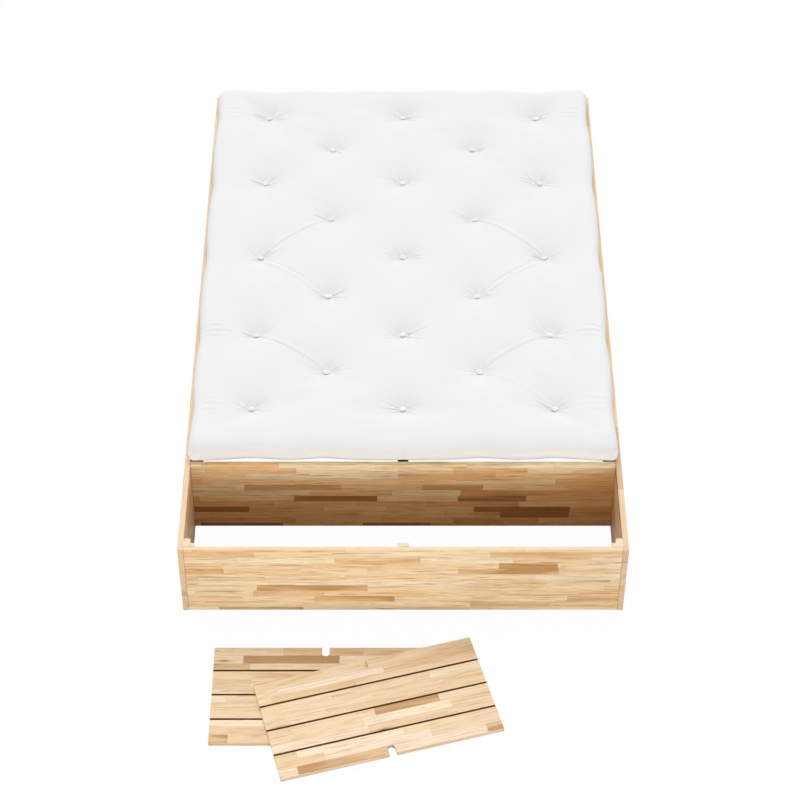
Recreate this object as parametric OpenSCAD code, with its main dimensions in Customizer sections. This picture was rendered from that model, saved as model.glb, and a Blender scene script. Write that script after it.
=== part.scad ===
// Low platform bed: a box of lamella boards with a futon bay and, at the foot, a storage
// compartment whose two lids are shown taken off, lying on the floor in front.
//
// Frame: +X to the right as seen from the foot, +Y towards the head, +Z up, millimetres.
// Origin: under the centre leg, on the floor in the middle of the futon bay.

/* [Frame] */
// Clear width between the side rails
bay_w = 1400; // [1300:10:1800]
// Clear length of the futon bay
bay_l = 1900; // [1850:10:2100]
// Clear length of the storage compartment
storage_l = 349; // [280:1:500]
// Height of rails and panels
board_h = 300; // [270:5:400]
// Thickness of the side rails
rail_t = 18; // [14:1:30]
// Thickness of the foot panel
foot_t = 15; // [14:1:30]
// Thickness of the cross panel
cross_t = 20; // [14:1:30]
// Thickness of the head panel
head_t = 20; // [14:1:30]
// Width of the eased arris along every board
arris = 1.5; // [0.5:0.5:3]

/* [Battens] */
// Width of the corner and centre battens
batten_w = 35; // [28:1:60]
// Thickness of the corner and centre battens
batten_t = 15; // [14:1:30]
// Width of the stop battens, across the bed
stop_w = 22; // [20:1:30]
// Thickness of the stop battens, along the bed
stop_t = 18; // [16:1:30]

/* [Platform] */
// Depth of the slats' top below the top of the rails
slat_drop = 12; // [5:1:30]
// Width of a slat
slat_w = 70; // [50:1:90]
// Thickness of a slat
slat_t = 18; // [14:1:24]
// Gap between a slat's end and the side rail
slat_end_gap = 2; // [1:0.5:5]
// Distance from the bay's end to the first slat
slat_inset = 60; // [50:1:100]
// Width of the ledges under the slat ends
ledge_w = 35; // [30:1:40]
// Height of the ledges
ledge_h = 35; // [30:1:50]
// Width of the centre beam
beam_w = 35; // [25:1:60]
// Height of the centre beam
beam_h = 70; // [50:1:90]
// Length of the centre leg, along the beam
leg_l = 70; // [40:1:120]

/* [Lids] */
// Distance of a lid's outer end from the outer face of the side rail
lid_margin = 2; // [0:0.5:6]
// Gap between the two lids where they meet on the bed
lid_meet = 4; // [1:0.5:8]
// How far a lid bears on the cross panel
lid_bearing = 13; // [4:1:14]
// Thickness of a lid's board
lid_t = 13; // [11:1:24]
// Groove between two boards of a lid
lid_gap = 4; // [2:0.5:8]
// Thickness of the loose tongues between the boards
tongue_t = 4; // [3:0.5:6]
// Depth of a tongue in each board
tongue_bite = 7; // [4:0.5:10]
// Width of a finger notch
notch_w = 24; // [18:1:40]
// Length of a finger notch with its round end
notch_l = 35; // [30:1:50]
// Left-right place of the lower lid
lower_lid_x = -248; // [-350:1:350]
// Distance of the lower lid's middle in front of the foot panel
lower_lid_out = 354; // [300:1:800]
// Left-right place of the upper lid
upper_lid_x = -80; // [-300:1:300]
// Distance of the upper lid's middle in front of the foot panel
upper_lid_out = 410; // [330:1:800]
// Turn of the upper lid on the lower one
upper_lid_turn = 15.5; // [10:0.5:22]

/* [Futon] */
// How far the futon's sides lie over the rails' tops at the tied rows
side_lap = 1; // [-10:0.5:2]
// How far the sides puff out between the tied rows
side_puff = 7.5; // [0:0.5:8]
// Gap between the futon's ends and the panels at the tied columns
end_gap = 9; // [6:0.5:20]
// How far the ends puff out between the tied columns
end_puff = 9; // [0:0.5:10]
// Height of the futon's widest line above the rails' top
waist_rise = 34; // [32:1:40]
// Thickness of the futon along its edges
futon_edge_t = 94; // [85:1:110]
// Rise of the futon's middle over its edges
futon_crown = 6; // [0:1:12]
// Rounding of the futon's corners, seen from above
corner_r = 45; // [40:1:55]
// Width of the rounding over the top edge
top_round = 50; // [45:1:70]
// How far the futon is drawn in under its widest line
under_round = 30; // [30:1:36]
// Depth of a tuft
tuft_depth = 34; // [8:1:38]
// Reach of the pulled-in cover round a tuft
tuft_reach = 60; // [50:1:70]
// Distance of the inner tuft columns from the middle
tuft_inner_x = 260; // [200:5:300]
// Distance of the outer tuft columns from the middle
tuft_outer_x = 505; // [450:5:520]
// Distance from the futon's foot end to its first tied row
tuft_foot_margin = 181; // [150:1:220]
// Distance from the futon's head end to its last tied row
tuft_head_margin = 163; // [150:1:220]
// How far the hand-tied middle rows lie towards the foot
row_drift = 21; // [0:1:25]
// How far the rows crowd at the foot and spread at the head
row_wander = 17; // [0:1:20]
// Radius of a tuft button
button_r = 11; // [8:0.5:12]
// Thickness of a button's rim
button_rim = 1.5; // [1:0.5:3]
// Rise of a button's top over its rim
button_dome = 3; // [1:0.5:4]

/* [Fasteners] */
// Shank diameter of the screws
screw_d = 4; // [3:0.5:5]
// Head diameter of the screws
screw_head_d = 8; // [6:0.5:9]
// Height of a screw's countersunk head
screw_head_h = 2.5; // [2:0.1:4]
// Length of a screw's point
screw_tip = 4; // [2:0.5:6]
// Width of the hexagonal drive recess across its corners
drive_d = 3; // [2:0.5:4]
// Depth of the drive recess
drive_h = 1.5; // [1:0.1:2]
// Depth that the panel screws reach into a panel
panel_screw_bite = 10; // [8:1:12]
// Depth that the stop battens' screws reach into a rail or corner batten
stop_screw_bite = 8; // [6:1:12]
// Depth that the ledge screws reach into a rail
ledge_screw_bite = 10; // [6:1:12]
// Depth that the slat screws reach into a ledge
slat_screw_bite = 22; // [15:1:26]
// Distance of the outer batten screws from the batten's ends
screw_margin = 50; // [40:1:60]
// Diameter of the beam's dowels
dowel_d = 10; // [6:1:12]
// Length of the beam's dowels
dowel_l = 40; // [30:1:60]
// Clearance round a screw, dowel or tongue in its hole
bore_clear = 0.1; // [0.05:0.05:0.3]

/* [Hidden] */
// The slats and the lids' boards are nodes of their own, so their numbers are fixed.
slat_count = 14;
lid_boards = 4;
slat_numbers = [for (i = [1 : slat_count]) i];
board_numbers = [for (i = [1 : lid_boards]) i];
tongue_numbers = [for (i = [1 : lid_boards - 1]) i];
ends = ["foot", "cross", "head"];
sides = ["left", "right"];
lids = ["lower", "upper"];

function slat_name(i) = str("slat_", i < 10 ? "0" : "", i);
function corner_name(end, side) = str(end, "_corner_batten_", side);
function stop_name(end, side) = str(end, "_stop_batten_", side);
function centre_name(end) = str(end, "_centre_batten");
function board_name(lid, i) = str(lid, "_lid_board_", i);
function tongue_name(lid, i) = str(lid, "_lid_tongue_", i);

// Clearance between a loose thing and what it lies on
seat_gap = 0.3;
// How far a cutter runs past the face that it cuts
over = 1;
// Facets of the round bores and pins
$fn = 48;

rail_colour = "#e3c49a";
panel_colour = "#e6c9a0";
batten_colour = "#f0dbb8";
platform_colour = "#dcbf94";
lid_colour = "#dfbf92";
tongue_colour = "#8a6238";
dowel_colour = "#d9b98c";
screw_colour = "#b9bcc0";
futon_colour = "#f1f1f0";
button_colour = "#ecebe4";

// ---------- places worked out from the sizes above ----------
rail_x = bay_w / 2;
bay_foot_y = -bay_l / 2;
bay_head_y = bay_l / 2;
storage_head_y = bay_foot_y - cross_t;
storage_foot_y = storage_head_y - storage_l;
foot_face_y = storage_foot_y - foot_t;
overall_w = bay_w + 2 * rail_t;
overall_l = bay_head_y + head_t - foot_face_y;
slat_top = board_h - slat_drop;
ledge_top = slat_top - slat_t;
beam_bottom = ledge_top - beam_h;
slat_pitch = (bay_l - 2 * slat_inset - slat_w) / (slat_count - 1);
function slat_y(i) = bay_foot_y + slat_inset + slat_w / 2 + (i - 1) * slat_pitch;

// Each end's battens stand on one face of its panel, and away says which way they stand off it.
function face_y(end) = end == "foot" ? storage_foot_y : end == "cross" ? bay_foot_y : bay_head_y;
function away(end) = end == "head" ? -1 : 1;
function hand(side) = side == "left" ? -1 : 1;
// The foot's battens are flush with the panel; the bay's stay under the futon.
function batten_top(end) = end == "foot" ? board_h : slat_top;
function centre_top(end) = end == "foot" ? board_h : beam_bottom;
function batten_face_y(end) = face_y(end) + away(end) * batten_t;
function stop_face_y(end) = batten_face_y(end) + away(end) * stop_t;
corner_screw_x = rail_x - batten_w / 2;
function screw_heights(top) = [screw_margin, top / 2, top - screw_margin];
function between_heights(top) = [screw_margin / 2 + top / 4, 3 * top / 4 - screw_margin / 2];

// ---------- boards with eased arrises ----------
module eased_outline(w, h) {
    polygon([[arris, 0], [w - arris, 0], [w, arris], [w, h - arris],
             [w - arris, h], [arris, h], [0, h - arris], [0, arris]]);
}

// Bars centred on two axes and standing on the third: w is the size along X, l along Y, h along Z.
module bar_x(w, l, h) {
    translate([-w / 2, -l / 2, 0]) rotate([90, 0, 90]) linear_extrude(w) eased_outline(l, h);
}

module bar_y(w, l, h) {
    translate([-w / 2, l / 2, 0]) rotate([90, 0, 0]) linear_extrude(l) eased_outline(w, h);
}

module bar_z(w, l, h) {
    translate([-w / 2, -l / 2, 0]) linear_extrude(h) eased_outline(w, l);
}

// ---------- fasteners ----------
// A screw's or hole's origin is the middle of the head's top, and it points down.
module screw(l) {
    difference() {
        rotate_extrude()
            polygon([[0, 0], [screw_head_d / 2, 0], [screw_d / 2, -screw_head_h],
                     [screw_d / 2, screw_tip - l], [0, -l]]);
        translate([0, 0, -drive_h]) cylinder(h = drive_h + over, d = drive_d, $fn = 6);
    }
}

module screw_hole(l) {
    head_r = screw_head_d / 2 + bore_clear;
    shank_r = screw_d / 2 + bore_clear;
    rotate_extrude()
        polygon([[0, over], [head_r, over], [head_r, 0], [shank_r, -screw_head_h],
                 [shank_r, -l - bore_clear], [0, -l - bore_clear]]);
}

module dowel(clear = 0) {
    translate([0, 0, beam_bottom - dowel_l / 2 - clear])
        cylinder(h = dowel_l + 2 * clear, d = dowel_d + 2 * clear);
}

panel_screw_l = batten_t + panel_screw_bite;
stop_rail_screw_l = stop_w + stop_screw_bite;
stop_batten_screw_l = stop_t + stop_screw_bite;
ledge_screw_l = ledge_w + ledge_screw_bite;
slat_screw_l = slat_t + slat_screw_bite;

// Screws through a batten into its panel, at one place across the bed
module at_panel_screws(end, x, top) {
    for (z = screw_heights(top))
        translate([x, batten_face_y(end), z]) rotate([-90 * away(end), 0, 0]) children();
}

// Screws through a stop batten into the side rail
module at_stop_rail_screws(end, side) {
    for (z = screw_heights(batten_top(end)))
        translate([hand(side) * (rail_x - stop_w), batten_face_y(end) + away(end) * stop_t / 2, z])
            rotate([0, -90 * hand(side), 0]) children();
}

// Screws through a stop batten into the corner batten in front of it
module at_stop_batten_screws(end, side) {
    for (z = between_heights(batten_top(end)))
        translate([hand(side) * (rail_x - stop_w / 2), stop_face_y(end), z])
            rotate([-90 * away(end), 0, 0]) children();
}

// Screws through a ledge into the side rail, between every third pair of slats
module at_ledge_screws(side) {
    for (i = [1 : 3 : slat_count - 1])
        translate([hand(side) * (rail_x - ledge_w), slat_y(i) + slat_pitch / 2, ledge_top - ledge_h / 2])
            rotate([0, -90 * hand(side), 0]) children();
}

// The screw through one end of a slat into its ledge
module at_slat_screw(side, i) {
    translate([hand(side) * (rail_x - ledge_w / 2), slat_y(i), slat_top]) children();
}

// Dowels between the beam and what carries it
module at_dowels() {
    for (y = [bay_foot_y + batten_t / 2, 0, bay_head_y - batten_t / 2])
        translate([0, y, 0]) children();
}

// ---------- frame ----------
module side_rail(side) {
    color(rail_colour) difference() {
        translate([hand(side) * (rail_x + rail_t / 2), foot_face_y + overall_l / 2, 0])
            bar_y(rail_t, overall_l, board_h);
        for (end = ends) at_stop_rail_screws(end, side) screw_hole(stop_rail_screw_l);
        at_ledge_screws(side) screw_hole(ledge_screw_l);
    }
}

// A panel between the rails, its middle plane at y
module panel(end, y, t) {
    color(panel_colour) difference() {
        translate([0, y, 0]) bar_x(bay_w, t, board_h);
        for (side = sides)
            at_panel_screws(end, hand(side) * corner_screw_x, batten_top(end)) screw_hole(panel_screw_l);
        at_panel_screws(end, 0, centre_top(end)) screw_hole(panel_screw_l);
    }
}

module foot_panel() { panel("foot", storage_foot_y - foot_t / 2, foot_t); }
module cross_panel() { panel("cross", bay_foot_y - cross_t / 2, cross_t); }
module head_panel() { panel("head", bay_head_y + head_t / 2, head_t); }

// ---------- battens ----------
module corner_batten(end, side) {
    x = hand(side) * corner_screw_x;
    color(batten_colour) difference() {
        translate([x, face_y(end) + away(end) * batten_t / 2, 0])
            bar_z(batten_w, batten_t, batten_top(end));
        at_panel_screws(end, x, batten_top(end)) screw_hole(panel_screw_l);
        at_stop_batten_screws(end, side) screw_hole(stop_batten_screw_l);
    }
}

module stop_batten(end, side) {
    color(batten_colour) difference() {
        translate([hand(side) * (rail_x - stop_w / 2), batten_face_y(end) + away(end) * stop_t / 2, 0])
            bar_z(stop_w, stop_t, batten_top(end));
        at_stop_rail_screws(end, side) screw_hole(stop_rail_screw_l);
        at_stop_batten_screws(end, side) screw_hole(stop_batten_screw_l);
    }
}

module centre_batten(end) {
    color(batten_colour) difference() {
        translate([0, face_y(end) + away(end) * batten_t / 2, 0])
            bar_z(batten_w, batten_t, centre_top(end));
        at_panel_screws(end, 0, centre_top(end)) screw_hole(panel_screw_l);
        if (end != "foot") at_dowels() dowel(bore_clear);
    }
}

// ---------- platform ----------
module slat_ledge(side) {
    ledge_l = bay_l - 2 * (batten_t + stop_t);
    color(platform_colour) difference() {
        translate([hand(side) * (rail_x - ledge_w / 2), 0, ledge_top - ledge_h])
            bar_y(ledge_w, ledge_l, ledge_h);
        at_ledge_screws(side) screw_hole(ledge_screw_l);
        for (i = slat_numbers) at_slat_screw(side, i) screw_hole(slat_screw_l);
    }
}

module centre_beam() {
    color(platform_colour) difference() {
        translate([0, 0, beam_bottom]) bar_y(beam_w, bay_l, beam_h);
        at_dowels() dowel(bore_clear);
    }
}

module centre_leg() {
    color(platform_colour) difference() {
        bar_z(beam_w, leg_l, beam_bottom);
        at_dowels() dowel(bore_clear);
    }
}

module slat(i) {
    color(platform_colour) difference() {
        translate([0, slat_y(i), ledge_top]) bar_x(bay_w - 2 * slat_end_gap, slat_w, slat_t);
        for (side = sides) at_slat_screw(side, i) screw_hole(slat_screw_l);
    }
}

module panel_screws() {
    color(screw_colour) for (end = ends) {
        for (side = sides)
            at_panel_screws(end, hand(side) * corner_screw_x, batten_top(end)) screw(panel_screw_l);
        at_panel_screws(end, 0, centre_top(end)) screw(panel_screw_l);
    }
}

module stop_screws() {
    color(screw_colour) for (end = ends, side = sides) {
        at_stop_rail_screws(end, side) screw(stop_rail_screw_l);
        at_stop_batten_screws(end, side) screw(stop_batten_screw_l);
    }
}

module ledge_screws() {
    color(screw_colour) for (side = sides) at_ledge_screws(side) screw(ledge_screw_l);
}

module slat_screws() {
    color(screw_colour) for (side = sides, i = slat_numbers) at_slat_screw(side, i) screw(slat_screw_l);
}

module beam_dowels() {
    color(dowel_colour) at_dowels() dowel();
}

// ---------- lids ----------
lid_l = (overall_w - 2 * lid_margin - lid_meet) / 2;
lid_d = foot_t + storage_l + lid_bearing;
lid_board_w = (lid_d - (lid_boards - 1) * lid_gap) / lid_boards;
board_pitch = lid_board_w + lid_gap;
function board_y(i) = -lid_d / 2 + lid_board_w / 2 + (i - 1) * board_pitch;

// A lid's own origin is the middle of its underside.
module at_lid(lid) {
    if (lid == "lower")
        translate([lower_lid_x, foot_face_y - lower_lid_out, 0]) children();
    else
        translate([upper_lid_x, foot_face_y - upper_lid_out, lid_t + seat_gap])
            rotate(upper_lid_turn) children();
}

module tongue_bar(i, clear = 0) {
    tongue_w = lid_gap + 2 * tongue_bite + 2 * clear;
    translate([0, board_y(i) + board_pitch / 2, lid_t / 2])
        cube([lid_l + (clear > 0 ? 2 * over : 0), tongue_w, tongue_t + 2 * clear], center = true);
}

// A finger notch that opens towards dir at the lid's long edge, with a round inner end
module finger_notch(dir) {
    round_y = dir * (lid_d / 2 - notch_l + notch_w / 2);
    translate([0, round_y, -over]) cylinder(h = lid_t + 2 * over, d = notch_w);
    translate([-notch_w / 2, min(round_y, dir * (lid_d / 2 + over)), -over])
        cube([notch_w, notch_l - notch_w / 2 + over, lid_t + 2 * over]);
}

module lid_board(lid, i) {
    color(lid_colour) at_lid(lid) difference() {
        translate([0, board_y(i), 0]) bar_x(lid_l, lid_board_w, lid_t);
        if (i > 1) tongue_bar(i - 1, bore_clear);
        if (i < lid_boards) tongue_bar(i, bore_clear);
        if (i == 1) finger_notch(-1);
        if (i == lid_boards) finger_notch(1);
    }
}

module lid_tongue(lid, i) {
    color(tongue_colour) at_lid(lid) tongue_bar(i);
}

// ---------- futon ----------
tied_x = rail_x + side_lap;
tied_y = bay_l / 2 - end_gap;
waist_h = slat_drop + waist_rise - seat_gap;
row_count = 9;
row_pitch = (2 * tied_y - tuft_foot_margin - tuft_head_margin) / (row_count - 1);
rows = [for (k = [0 : row_count - 1])
    -tied_y + tuft_foot_margin + k * row_pitch
        - row_drift * sin(180 * k / (row_count - 1)) - row_wander * sin(360 * k / (row_count - 1))];
wide_columns = [-tuft_outer_x, 0, tuft_outer_x];
narrow_columns = [-tuft_inner_x, tuft_inner_x];
end_columns = concat(narrow_columns, [-tuft_outer_x, tuft_outer_x]);
tufts = [for (k = [0 : row_count - 1]) for (x = k % 2 == 0 ? wide_columns : narrow_columns) [x, rows[k]]];

function total(list) = len(list) == 0 ? 0 : list * [for (value = list) 1];
function bell(d, reach) = exp(-2 * pow(d / reach, 2));
function side_x(y) = tied_x + side_puff
    - side_puff * total([for (k = [0 : 2 : row_count - 1]) bell(y - rows[k], 2 * tuft_reach)]);
function end_y(x) = tied_y + end_puff
    - end_puff * total([for (c = end_columns) bell(x - c, 2 * tuft_reach)]);

// Height of the cover, s in from the widest line: a quarter ellipse, a low crown and the tufts
function edge_rise(s) = s >= top_round ? 1 : sqrt(1 - pow(1 - s / top_round, 2));
function cover_z(x, y, s) =
    waist_h + (futon_edge_t - waist_h) * edge_rise(s)
    + futon_crown * (1 - pow(x / tied_x, 2)) * (1 - pow(y / tied_y, 2)) * edge_rise(s)
    - tuft_depth * total([for (t = tufts) if (norm(t - [x, y]) < 3 * tuft_reach) bell(norm(t - [x, y]), tuft_reach)]);

// Lines of the cover's net: each tuft has one through it and one each side, and the edges have four
edge_lines = [0, 7, 25, top_round];
half_columns = concat([0, tuft_reach, tuft_inner_x / 2, tuft_inner_x - tuft_reach, tuft_inner_x,
                       tuft_inner_x + tuft_reach, tuft_outer_x - tuft_reach, tuft_outer_x,
                       tuft_outer_x + tuft_reach],
                      [for (i = [3 : -1 : 0]) tied_x - edge_lines[i]]);
net_x = concat([for (i = [len(half_columns) - 1 : -1 : 1]) -half_columns[i]], half_columns);
net_y = concat([for (s = edge_lines) s - tied_y],
               [for (y = rows, d = [-tuft_reach, 0, tuft_reach]) y + d],
               [for (i = [3 : -1 : 0]) tied_y - edge_lines[i]]);
nx = len(net_x);
ny = len(net_y);

// A square corner of the net is drawn round onto the corner's arc.
function rounded(p, hx, hy) =
    let (cx = abs(p.x) - hx + corner_r, cy = abs(p.y) - hy + corner_r,
         k = cx > 0 && cy > 0 ? max(cx, cy) / norm([cx, cy]) : 1)
    [cx > 0 && cy > 0 ? sign(p.x) * (hx - corner_r + cx * k) : p.x,
     cx > 0 && cy > 0 ? sign(p.y) * (hy - corner_r + cy * k) : p.y];

// Where a point of the net lies in plan: the outer lines follow the puffed sides and ends
function puffed(x, y) =
    let (kx = pow(abs(x / tied_x), 6), ky = pow(abs(y / tied_y), 6))
    rounded([x + sign(x) * kx * (side_x(y) - tied_x), y + sign(y) * ky * (end_y(x) - tied_y)],
            side_x(y), end_y(x));
function plan(i, j) = puffed(net_x[i], net_y[j]);

function cover_point(i, j) =
    let (s = min(tied_x - abs(net_x[i]), tied_y - abs(net_y[j])), p = plan(i, j))
    [p.x, p.y, cover_z(net_x[i], net_y[j], s)];

// The net's rim, once round, and the way in from each of its points
rim = concat([for (i = [0 : nx - 2]) [i, 0]], [for (j = [0 : ny - 2]) [nx - 1, j]],
             [for (i = [nx - 1 : -1 : 1]) [i, ny - 1]], [for (j = [ny - 1 : -1 : 1]) [0, j]]);
function way_in(p) =
    let (cx = abs(p.x) - tied_x + corner_r, cy = abs(p.y) - tied_y + corner_r)
    cx > 0 && cy > 0 ? -[sign(p.x) * cx, sign(p.y) * cy] / norm([cx, cy])
        : cx > cy ? [-sign(p.x), 0] : [0, -sign(p.y)];
// Steps down the side: part of the way from the widest line to the underside
side_steps = [0.4, 0.75, 1];
function side_point(r, t) =
    let (p = plan(rim[r][0], rim[r][1]), s = under_round * (1 - sqrt(1 - t * t)))
    concat(p + s * way_in(p), [waist_h * (1 - t)]);

rim_n = len(rim);
cover_n = nx * ny;
futon_points = concat(
    [for (j = [0 : ny - 1], i = [0 : nx - 1]) cover_point(i, j)],
    [for (t = side_steps, r = [0 : rim_n - 1]) side_point(r, t)],
    [[0, 0, 0]]);
function cover_index(i, j) = j * nx + i;
function ring_index(step, r) =
    step == 0 ? cover_index(rim[r % rim_n][0], rim[r % rim_n][1])
              : cover_n + (step - 1) * rim_n + r % rim_n;
futon_faces = concat(
    [for (j = [0 : ny - 2], i = [0 : nx - 2]) [cover_index(i, j), cover_index(i, j + 1), cover_index(i + 1, j + 1)]],
    [for (j = [0 : ny - 2], i = [0 : nx - 2]) [cover_index(i, j), cover_index(i + 1, j + 1), cover_index(i + 1, j)]],
    [for (step = [0 : 2], r = [0 : rim_n - 1]) [ring_index(step, r), ring_index(step, r + 1), ring_index(step + 1, r + 1)]],
    [for (step = [0 : 2], r = [0 : rim_n - 1]) [ring_index(step, r), ring_index(step + 1, r + 1), ring_index(step + 1, r)]],
    [for (r = [0 : rim_n - 1]) [ring_index(3, r), ring_index(3, r + 1), len(futon_points) - 1]]);

module futon() {
    color(futon_colour) translate([0, 0, slat_top + seat_gap])
        polyhedron(points = futon_points, faces = futon_faces, convexity = 4);
}

// A button's underside is dished as steeply as the net falls into a tuft along its diagonals.
button_dish = button_r * sqrt(2) * tuft_depth * (1 - bell(tuft_reach, tuft_reach)) / tuft_reach;

module tuft_buttons() {
    rim_z = seat_gap + button_dish;
    color(button_colour) translate([0, 0, slat_top + seat_gap]) for (t = tufts)
        translate(concat(puffed(t.x, t.y), [cover_z(t.x, t.y, top_round)])) rotate_extrude()
            polygon([[0, seat_gap], [button_r, rim_z], [button_r, rim_z + button_rim],
                     [button_r / 2, rim_z + button_rim + 3 * button_dome / 4],
                     [0, rim_z + button_rim + button_dome]]);
}

// ---------- the assembly ----------
for (side = sides)
    side_rail(side);
foot_panel();
cross_panel();
head_panel();
for (end = ends, side = sides) {
    corner_batten(end, side);
    stop_batten(end, side);
}
for (end = ends)
    centre_batten(end);
for (side = sides)
    slat_ledge(side);
centre_beam();
centre_leg();
for (i = slat_numbers)
    slat(i);
panel_screws();
stop_screws();
ledge_screws();
slat_screws();
beam_dowels();
for (lid = lids, i = board_numbers)
    lid_board(lid, i);
for (lid = lids, i = tongue_numbers)
    lid_tongue(lid, i);
futon();
tuft_buttons();
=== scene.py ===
# %% [markdown]
# # A low platform bed with a tufted futon
#
# The bed is a plain box of edge-glued boards. A white cotton futon fills most of it, a storage
# compartment is left open at the foot, and its two lids lie on the floor in front. The boards, slats
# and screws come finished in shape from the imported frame, so this script only gives them their wood
# and steel. It makes the futon and its buttons itself, because cloth has folds that a plain solid
# leaves out.

# %% Load the frame
import math

import bmesh
import bpy
import numpy as np
from mathutils import Euler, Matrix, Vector


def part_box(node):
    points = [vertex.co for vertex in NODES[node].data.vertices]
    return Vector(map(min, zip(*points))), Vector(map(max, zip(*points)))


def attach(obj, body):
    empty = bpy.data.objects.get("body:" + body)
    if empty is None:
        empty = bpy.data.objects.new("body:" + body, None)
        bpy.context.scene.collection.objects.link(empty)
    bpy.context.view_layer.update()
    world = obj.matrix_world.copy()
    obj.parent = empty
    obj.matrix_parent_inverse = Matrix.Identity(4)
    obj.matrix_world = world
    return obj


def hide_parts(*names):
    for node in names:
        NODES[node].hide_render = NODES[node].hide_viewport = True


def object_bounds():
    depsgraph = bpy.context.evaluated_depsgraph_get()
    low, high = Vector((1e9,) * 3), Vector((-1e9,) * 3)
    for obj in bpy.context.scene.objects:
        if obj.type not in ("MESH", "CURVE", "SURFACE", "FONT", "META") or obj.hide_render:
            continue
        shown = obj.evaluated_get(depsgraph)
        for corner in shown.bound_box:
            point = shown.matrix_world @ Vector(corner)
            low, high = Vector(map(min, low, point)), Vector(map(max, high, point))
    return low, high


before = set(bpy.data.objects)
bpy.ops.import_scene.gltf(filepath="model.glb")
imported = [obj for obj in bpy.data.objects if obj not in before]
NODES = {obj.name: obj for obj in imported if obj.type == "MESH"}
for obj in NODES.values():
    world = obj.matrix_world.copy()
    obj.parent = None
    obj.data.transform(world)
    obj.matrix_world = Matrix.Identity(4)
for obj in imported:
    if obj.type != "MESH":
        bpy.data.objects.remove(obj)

MM = 0.001
cad_low, cad_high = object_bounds()
rail_low, rail_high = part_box("side_rail_left")
futon_low, futon_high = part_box("futon")
print(f"frame: {len(NODES)} nodes, from {tuple(cad_low)} to {tuple(cad_high)}")

# %% [markdown]
# A few helpers serve every material. Colours are written as the sRGB hex values that a colour picker
# shows, and one function turns them into the linear numbers that the shaders want. Another adds a
# node: plain values are set on its sockets, and sockets are linked. Two short ones add the nodes that
# come up most: a sum, and a value carried from one range to another.

# %% Colour and node helpers
def linear(hex_colour):
    """Linear RGBA of an sRGB colour such as #EBC89C."""
    srgb = [int(hex_colour[i:i + 2], 16) / 255 for i in (1, 3, 5)]
    return [c / 12.92 if c <= 0.04045 else ((c + 0.055) / 1.055) ** 2.4 for c in srgb] + [1.0]


def add(tree, kind, inputs=None, **settings):
    """Adds a node with its settings, and sets or links its inputs by name or number."""
    node = tree.nodes.new(kind)
    for name, value in settings.items():
        setattr(node, name, value)
    for key, value in (inputs or {}).items():
        if isinstance(value, bpy.types.NodeSocket):
            tree.links.new(value, node.inputs[key])
        else:
            node.inputs[key].default_value = value
    return node


def maths(tree, operation, *values):
    """The result of a sum on sockets or numbers."""
    return add(tree, "ShaderNodeMath", dict(enumerate(values)), operation=operation).outputs[0]


def ranged(tree, value, start, end, low, high, **settings):
    """Low where a value is at start, high where it is at end, and between them in between."""
    return add(tree, "ShaderNodeMapRange", {"Value": value, "From Min": start, "From Max": end,
                                            "To Min": low, "To Max": high}, **settings).outputs[0]


def new_material(name):
    """An empty material with its output, ready for nodes."""
    material = bpy.data.materials.new(name)
    material.use_nodes = True
    material.node_tree.nodes.clear()
    return material, add(material.node_tree, "ShaderNodeOutputMaterial")


# %% [markdown]
# The camera stands in front of the foot and looks down at about 45 degrees through a long lens, so
# the box tapers only a little towards the head. Its place was worked out from the straight edges of
# the box.

# %% Camera
CAMERA_PLACE = (-0.0099, -6.1208, 5.8687)
CAMERA_TILT = math.radians(44.40)
CAMERA_LENS = 103.87
CAMERA_SENSOR = 36
CAMERA_REACH = 100

camera_data = bpy.data.cameras.new("Camera")
camera_data.lens = CAMERA_LENS
camera_data.sensor_width = CAMERA_SENSOR
camera_data.clip_end = CAMERA_REACH
camera = bpy.data.objects.new("Camera", camera_data)
camera.location = CAMERA_PLACE
camera.rotation_euler = (CAMERA_TILT, 0, 0)
bpy.context.scene.collection.objects.link(camera)
bpy.context.scene.camera = camera

# %% [markdown]
# The light is a white studio sky without lamps, made of three parts. It is brighter low down than
# overhead, all round. It has a long low glow in front of the foot, and one broad soft patch high up
# behind the head. So the front is lit almost as much as the top, nothing throws a hard shadow, and
# little light reaches the bottom of the storage compartment, which is why that goes dark. The floor
# throws a little light back up, except under the bed, where it acts like a dark cloth. The camera
# sees a plain white sky and floor, and the floor keeps a faint shadow.

# %% Sky and floor
SKY = 1.5
SKY_FALL = 2.0
FRONT = 4.6
FRONT_FALL = 4.0
PATCH = 5.85
PATCH_FALL = 12.0
PATCH_HEIGHT = math.radians(57)
FLOOR_SHADOW = 0.02
FLOOR_BOUNCE = 0.2
FLOOR_SIZE = 60
FLOOR_DROP = 0.5 * MM

scene = bpy.context.scene
scene.view_settings.view_transform = "Standard"

world = bpy.data.worlds.new("Studio")
scene.world = world
world.use_nodes = True
tree = world.node_tree
tree.nodes.clear()


def seen_directly(tree):
    """A socket that is 1 for what the camera sees itself, in a mirror or through glass."""
    path = add(tree, "ShaderNodeLightPath").outputs
    mirrored = maths(tree, "MAXIMUM", path["Is Camera Ray"], path["Is Glossy Ray"])
    return maths(tree, "MAXIMUM", mirrored, path["Is Transmission Ray"])


def towards(tree, way, direction):
    """How nearly a point of the sky lies in a direction, from 0 to 1."""
    facing = add(tree, "ShaderNodeVectorMath", {0: way, 1: direction}, operation="DOT_PRODUCT")
    return maths(tree, "MAXIMUM", facing.outputs["Value"], 0.0)


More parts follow.
